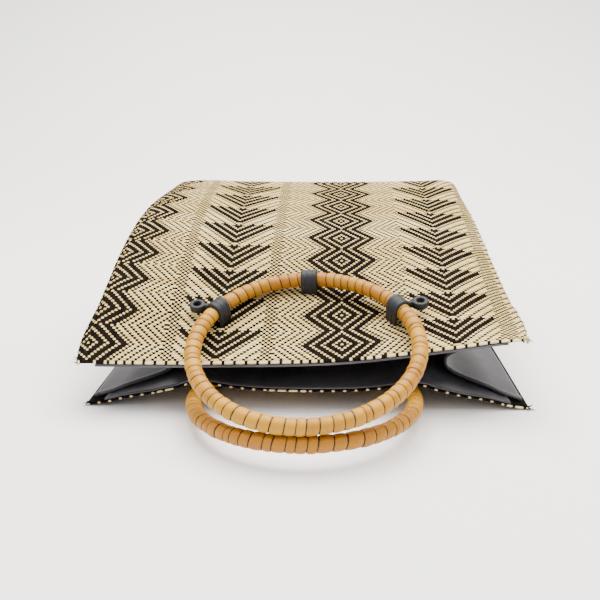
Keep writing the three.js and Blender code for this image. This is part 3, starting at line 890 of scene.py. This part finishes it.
# How turns differ: spread, least and most of their widths, spread of their heights, and how uneven
# each is round the tube. The heights are counted from a little under the tube's surface.
WIDTH_SPREAD = 0.2
LEAST_WIDTH = 0.6
MOST_WIDTH = 1.5
HEIGHT_SPREAD = 0.09
WOBBLE = 0.06
CANE_SINK = 0.1

# Darker stretches of each ring: the middle and the half width in degrees, and how dark. The lower ring's are
# painted shade: at its front under the upper ring, which rests there, and at its back under the lower panel
UPPER_DARK_STRETCHES = ((100, 22, 0.9), (50, 14, 0.6), (-25, 10, 0.8))
LOWER_PAINTED_SHADE = ((-95, 60, 0.8), (90, 40, 0.6))


def cane_ring(name, node, ring, seed, dark_stretches):
    """A tube wound with cane: the mesh's columns follow the winding, so each seam is a crisp groove."""
    centre, matrix = ring
    random = np.random.default_rng(seed)
    widths = random.normal(1, WIDTH_SPREAD, TURNS).clip(LEAST_WIDTH, MOST_WIDTH)
    edges = np.concatenate([[0], np.cumsum(widths)]) / widths.sum() * 2 * np.pi
    tones = random.random(TURNS)
    swell = random.normal(0, HEIGHT_SPREAD, TURNS)
    theta, height, tone, seam, count = [], [], [], [], len(TURN_PLACES)
    for k in range(TURNS):
        theta.append(edges[k] + (edges[k + 1] - edges[k]) * TURN_PLACES)
        height.append(TURN_HEIGHTS + swell[k] * (TURN_PLACES > 0))
        tone.append(np.full(count, tones[k]))
        seam.append(np.where(TURN_PLACES == 0, 1.0, 0.0))
    theta, height, tone, seam = (np.concatenate(v) for v in (theta, height, tone, seam))
    columns = len(theta)
    phi = 2 * np.pi * np.arange(TURN_SIDES) / TURN_SIDES
    grid_phi, grid_theta = np.meshgrid(phi, theta, indexing="ij")
    # Each turn leans from one side of the tube to the other, as a winding does
    lean = np.repeat(np.diff(edges), count)
    grid_theta = grid_theta + lean[None, :] * np.sin(grid_phi) * TURN_LEAN
    radius = TUBE_RADIUS - CANE_SINK + height[None, :]
    wobble = WOBBLE * np.sin(3 * grid_phi + tone[None, :] * 40)
    radius = radius + wobble
    reach = RING_RADIUS + radius * np.cos(grid_phi)
    local = [reach * np.cos(grid_theta), reach * np.sin(grid_theta), radius * np.sin(grid_phi)]
    local = np.stack(local, axis=-1)
    points = local @ matrix.T + centre
    a = np.arange(TURN_SIDES)[:, None] * columns + np.arange(columns)[None, :]
    right = np.roll(a, -1, axis=1)
    quads = np.stack([a, right, np.roll(right, -1, axis=0), np.roll(a, -1, axis=0)], axis=-1)
    faces = quads.reshape(-1, 4)[:, ::-1]
    # Darker stretches round the ring, which on the lower ring are painted shade
    darkening = np.zeros(columns)
    for middle, width, depth in dark_stretches:
        apart = np.abs((theta - math.radians(middle) + np.pi) % (2 * np.pi) - np.pi)
        darkening = np.maximum(darkening, depth * np.clip(1.4 - apart / math.radians(width), 0, 1))
    darkening = darkening * (0.55 + 0.45 * tone)
    colours = np.ones((TURN_SIDES, columns, 4))
    colours[..., 0] = tone
    colours[..., 1] = seam
    colours[..., 2] = darkening
    uvs = np.stack([grid_phi * TUBE_RADIUS, grid_theta * RING_RADIUS + tone[None, :] * 50], axis=-1)
    piece = add_mesh(name, points, faces, [CANE], uvs=uvs, colours=colours)
    return finish_piece(piece, "cane", node)


# Laces

SADDLE_STEPS = 22
LACE_LEAN = 0.8
SADDLE_ACROSS = 25
CURL_STEPS = 60

# The rolled end of a lace: share of its strip that is straight, its wall, and its turns in degrees
CURL_LINK_SHARE = 0.16
CURL_WALL = 3
CURL_START = 200
CURL_TURN = 400
CURL_TIGHTNESS = 0.3

# Along the curl: places as shares of its strip, and its thickness and its two edges' heights there
CURL_THICK = ((0, 0.1, 0.9, 1), (1.3, 1, 1, 0.5))
CURL_UPPER_EDGE = ((0, 0.2, 0.5, 1), (1.1, 1.15, 1, 0.75))
CURL_LOWER_EDGE = ((0, 0.3, 1), (0.8, 1, 1))

# The strap's thickness at its edges and in its grooves, as shares, and how wide an edge's round is
EDGE_SHARE = 0.35
GROOVE_SHARE = 0.72
EDGE_ROUND = 0.8


def lace_frame(ring, angle, facing):
    """Origin on the tube's centre, and the directions out of the ring, away from the mat and along."""
    centre, matrix = ring
    a = math.radians(angle)
    out = matrix @ np.array([math.cos(a), math.sin(a), 0])
    up = matrix @ np.array([0, 0, facing])
    return centre + out * RING_RADIUS, out, up, np.cross(out, up)


def foot_height(lace_place, near, far, half_length):
    """Height at which a foot beside the tube meets the mat, from the tube's centre."""
    origin, out, up, along = lace_place
    local = MAT_POINTS.reshape(-1, 3) - origin
    x, y, z = local @ out, local @ up, local @ along
    under = (x > near) & (x < far) & (np.abs(z) < half_length) & (y < 0) & (y > -5 * TUBE_RADIUS)
    return y[under].max() + MAT_THICKNESS / 2 if under.any() else -TUBE_RADIUS


def lace(name, node, ring, angle, facing, ridges, hand):
    """A lace over the tube down to the mat, in ridges, and a curled end beside it unless hand is 0."""
    place = lace_frame(ring, angle, facing)
    origin, out, up, along = place
    outside = TUBE_RADIUS + LACE_GAP + LACE_THICKNESS
    half = LACE_WIDTH / 2
    outer_foot = foot_height(place, TUBE_RADIUS, outside, half)
    inner_foot = foot_height(place, -outside, -TUBE_RADIUS, half)
    turn = np.linspace(0, np.pi, SADDLE_STEPS)
    arch = [(math.cos(t), math.sin(t)) for t in turn]
    path = np.array([(1, outer_foot / outside), *arch, (-1, inner_foot / outside)])
    z = np.linspace(-half, half, SADDLE_ACROSS)
    ridge = np.abs(np.cos(np.pi * ridges * z / LACE_WIDTH)) ** 0.6
    edge = np.clip((half - np.abs(z)) / EDGE_ROUND, 0, 1) ** 0.5
    thick = LACE_THICKNESS * (EDGE_SHARE + (1 - EDGE_SHARE) * edge)
    thick = thick * (GROOVE_SHARE + (1 - GROOVE_SHARE) * ridge)
    grids = []
    for radius in (TUBE_RADIUS + LACE_GAP + thick, np.full(len(z), TUBE_RADIUS + LACE_GAP)):
        x = path[:, 0][:, None] * radius[None, :]
        is_foot = np.abs(path[:, 0])[:, None] == 1
        y = path[:, 1][:, None] * np.where(is_foot, outside, radius)
        lean = LACE_LEAN * hand * np.linspace(-1, 1, len(path))[:, None]
        sideways = (z[None, :] + lean)[..., None] * along
        grids.append(origin + x[..., None] * out + y[..., None] * up + sideways)
    points, faces = wall(grids[0], grids[1])
    if hand:
        more_points, more_faces = curl(place, outside, hand)
        faces = np.concatenate([faces, more_faces + len(points)])
        points = np.concatenate([points, more_points])
    return finish_piece(add_mesh(name, points, faces, [LACE]), "lace", node)


def curl(place, outside, hand):
    """A strip on edge that leaves the saddle's side and rolls up beside it, level with the tube."""
    origin, out, up, along = place
    share = np.linspace(0, 1, CURL_STEPS)
    spiral = np.clip((share - CURL_LINK_SHARE) / (1 - CURL_LINK_SHARE), 0, 1)
    turn = math.radians(CURL_START) - spiral * math.radians(CURL_TURN)
    radius = (CURL_RADIUS - CURL_WALL / 2) * (1 - CURL_TIGHTNESS * spiral)
    x = CURL_OUT + radius * np.cos(turn)
    z = CURL_FORWARD + radius * np.sin(turn)
    # The strip's first part runs straight from the saddle to where the spiral starts
    link = share < CURL_LINK_SHARE
    way = share[link] / CURL_LINK_SHARE
    x[link] = outside - LACE_THICKNESS + (x[~link][0] - outside + LACE_THICKNESS) * way
    z[link] = z[~link][0] * (0.6 + 0.4 * way)
    thick = CURL_WALL / 2 * np.interp(share, *CURL_THICK)
    high = CURL_HEIGHT / 2 * np.interp(share, *CURL_UPPER_EDGE)
    low = -CURL_HEIGHT / 2 * np.interp(share, *CURL_LOWER_EDGE)
    tangent = unit(np.stack([np.gradient(x), np.gradient(z)], axis=-1))
    across = np.stack([-tangent[:, 1], tangent[:, 0]], axis=-1)
    section = ((-1, 0), (-1, 0.9), (-0.6, 1), (0.6, 1), (1, 0.9), (1, 0))
    grid = []
    for sideways, height in section:
        px = x + across[:, 0] * sideways * thick
        pz = hand * (z + across[:, 1] * sideways * thick)
        py = low + (high - low) * height
        grid.append(origin + px[:, None] * out + py[:, None] * up + pz[:, None] * along)
    grid = np.stack(grid, axis=1)
    count = len(section)
    index = np.arange(CURL_STEPS * count).reshape(CURL_STEPS, count)
    right = np.roll(index, -1, axis=1)
    faces = np.stack([index[:-1], right[:-1], right[1:], index[1:]], axis=-1).reshape(-1, 4)
    caps = [index[0][[0, 1, 2, 3]], index[0][[0, 3, 4, 5]], index[-1][[3, 2, 1, 0]], index[-1][[5, 4, 3, 0]]]
    return grid.reshape(-1, 3), np.concatenate([faces, np.array(caps)])


# Frays

# A loose end's bend, sag and tip width as shares, and its mesh
BEND_SPREAD = 0.35
BEND_SHARE = 0.4
SAG_SHARE = 0.1
TIP_WIDTH = 0.35
BRISTLE_SIDES = 4
BRISTLE_STEPS = 5

# How far the roots of a tuft are spread, in cells and rows, and how its ends splay
ROOT_SPREAD = 1.3
SPLAY = 0.45
TUFT_RADIUS = 0.42
THIN_RADIUS = 0.35
SIDE_ENDS = 34


def bristles(name, roots, directions, lengths, radius, material, seed, sag=0.5):
    """Loose ends: thin bent threads, tapered to their tips."""
    random = np.random.default_rng(seed)
    sides, steps = BRISTLE_SIDES, BRISTLE_STEPS
    points, faces = [], []
    for root, direction, length in zip(roots, directions, lengths):
        bend = random.normal(0, BEND_SPREAD, 3)
        line = []
        for s in np.linspace(0, 1, steps):
            drop = np.array([0, 0, -sag * length * SAG_SHARE * s * s])
            line.append(root + direction * length * s + bend * length * BEND_SHARE * s * s + drop)
        line = np.array(line)
        line[:, 2] = np.maximum(line[:, 2], radius)
        tangent = unit(np.gradient(line, axis=0))
        side = unit(np.cross(tangent, [0.31, 0.2, 0.93]))
        up = np.cross(tangent, side)
        width = radius * np.linspace(1, TIP_WIDTH, steps)[:, None]
        start = len(points)
        for s in range(steps):
            for a in range(sides):
                angle = 2 * math.pi * a / sides
                points.append(line[s] + (side[s] * math.cos(angle) + up[s] * math.sin(angle)) * width[s])
        for s in range(steps - 1):
            for a in range(sides):
                b = (a + 1) % sides
                at = start + s * sides
                faces.append([at + a, at + b, at + sides + b, at + sides + a])
    return finish_piece(add_mesh(name, points, faces, [material]), "straw")


def corner_frays():
    """Tufts at the four corners of the mouth, and loose ends along the right edge."""
    random = np.random.default_rng(7)
    # Name, cell, row, lean, number of ends, their length in millimetres, and material
    tufts = (
        ("fray_upper_right", CELLS, 0, (1, -0.3, -0.1), 26, 5.5, NATURAL),
        ("fray_upper_right_dark", CELLS, 0.6, (1, -0.3, -0.5), 16, 4.5, BLACK),
        ("fray_upper_left", 0, 0, (-1, -0.4, 0), 14, 3.5, BLACK),
        ("fray_lower_right", CELLS, ROWS, (1, -0.5, 0.2), 22, 6, BLACK),
        ("fray_lower_left", 0, ROWS, (-1, -0.5, 0.2), 20, 4.5, BLACK),
    )
    for seed, (name, cell, row, lean, count, length, material) in enumerate(tufts):
        cells = np.abs(cell - np.abs(random.normal(0, ROOT_SPREAD, count)))
        rows = np.abs(row - np.abs(random.normal(0, ROOT_SPREAD, count)))
        roots = on_mat(cells, rows, random.uniform(-0.6, 0.6, count))
        directions = unit(np.array(lean) + random.normal(0, SPLAY, (count, 3)))
        lengths = length * random.uniform(0.35, 1, count)
        bristles(name, roots, directions, lengths, TUFT_RADIUS, material, seed)
    count = SIDE_ENDS
    rows = random.uniform(2, PANEL_ROWS, count)
    roots = on_mat(np.full(count, CELLS), rows, random.uniform(-0.3, 0.6, count))
    directions = unit(np.array((1, 0, 0.1)) + random.normal(0, 0.4, (count, 3)))
    lengths = random.uniform(1.2, 3.2, count)
    bristles("fray_right_edge", roots, directions, lengths, THIN_RADIUS, BLACK, 21)
    root = on_mat(np.array([5.0]), np.array([ROWS - 1.0]), np.array([-MAT_THICKNESS / 2]))
    bristles("loose_thread", root, [np.array([0.05, -0.1, 1.0])], [10.5], THIN_RADIUS, BLACK, 22, 0)


# The bag

weave("weave_upper", 0, PANEL_ROWS, 3)
weave("weave_bottom", PANEL_ROWS, PANEL_ROWS + BOTTOM_ROWS, 3)
weave("weave_lower", PANEL_ROWS + BOTTOM_ROWS, ROWS, 2)
edge_strands("upper_mouth_edge", 0, 0, -1)
edge_strands("lower_mouth_edge", ROWS - 1, ROWS, 1)
mat_shade_backing()
lining()
gusset("gusset_left", -1)
gusset("gusset_right", 1)
cane_ring("upper_ring_cane", "upper_ring", UPPER_RING, 3, UPPER_DARK_STRETCHES)
cane_ring("lower_ring_cane", "lower_ring", LOWER_RING, 5, LOWER_PAINTED_SHADE)
for side, sign in (("left", 1), ("right", -1)):
    turned = 90 + sign * SIDE_LACE_ANGLE
    lace(f"upper_lace_{side}_strap", f"upper_lace_{side}", UPPER_RING, turned, 1, 3, -sign)
    lace(f"lower_lace_{side}_strap", f"lower_lace_{side}", LOWER_RING, turned, -1, 3, sign)
lace("upper_lace_centre_strap", "upper_lace_centre", UPPER_RING, 90, 1, 3, 0)
lace("lower_lace_centre_strap", "lower_lace_centre", LOWER_RING, 90, -1, 3, 0)
corner_frays()


# Floor, light and camera

FLOOR_DROP = 0.0002
FLOOR_SIZE = 12
BEND_START = 0.5
BEND_END = 4
BEND_STEPS = 24
BACKDROP_HEIGHT = 4

# Each light's place, what it points at and its size in metres, its power in watts, and its colour
KEY_LIGHT = ((0.1, 0.3, 1.7), (0, 0.05, 0.05), (2.2, 1.8), 160, (1, 0.97, 0.93))
FILL_LIGHT = ((-0.9, -1.1, 1.2), (0, 0, 0.05), (1.4, 1.0), 4, (0.97, 0.98, 1))
SKY_COLOUR = (0.92, 0.94, 1.0, 1)
SKY_STRENGTH = 0.88


def stage_floor():
    """A pale floor that bends up into a backdrop far behind."""
    rows = []
    places = [-3, -1, 0, *np.linspace(BEND_START, BEND_END, BEND_STEPS)]
    for y in places:
        z = BACKDROP_HEIGHT * (max(y - BEND_START, 0) / (BEND_END - BEND_START)) ** 2
        rows.append([(x, y, z - FLOOR_DROP) for x in np.linspace(-FLOOR_SIZE / 2, FLOOR_SIZE / 2, 9)])
    points = np.array(rows) * 1000 - ORIGIN
    faces = grid_faces(len(rows), 9)
    add_mesh("floor", points, faces, [FLOOR])


def area_light(name, place, target, size, power, colour):
    data = bpy.data.lights.new(name, "AREA")
    data.shape = "RECTANGLE"
    data.size, data.size_y = size
    data.energy = power
    data.color = colour
    light = bpy.data.objects.new(name, data)
    light.location = place
    direction = Vector(target) - Vector(place)
    light.rotation_euler = direction.to_track_quat("-Z", "Y").to_euler()
    bpy.context.scene.collection.objects.link(light)


def world_light():
    world = bpy.data.worlds.new("soft_sky")
    world.use_nodes = True
    background = world.node_tree.nodes["Background"]
    background.inputs["Color"].default_value = SKY_COLOUR
    background.inputs["Strength"].default_value = SKY_STRENGTH
    bpy.context.scene.world = world


# The camera: its place in the mouth frame in millimetres, and where it looks, in degrees
CAMERA_PLACE = (19.5, -489.1, 235.7)
CAMERA_PITCH = -17.0
CAMERA_YAW = 2.58
IMAGE_WIDTH = 600
FOCAL_PIXELS = 707.6
SENSOR_WIDTH = 36


def camera():
    data = bpy.data.cameras.new("camera")
    data.sensor_width = SENSOR_WIDTH
    data.lens = FOCAL_PIXELS / IMAGE_WIDTH * SENSOR_WIDTH
    data.clip_start = 0.01
    view = bpy.data.objects.new("camera", data)
    view.location = (np.array(CAMERA_PLACE) + ORIGIN) / 1000
    view.rotation_euler = (math.radians(90 + CAMERA_PITCH), 0, math.radians(CAMERA_YAW))
    bpy.context.scene.collection.objects.link(view)
    bpy.context.scene.camera = view


stage_floor()
area_light("key", *KEY_LIGHT)
area_light("fill", *FILL_LIGHT)
world_light()
camera()
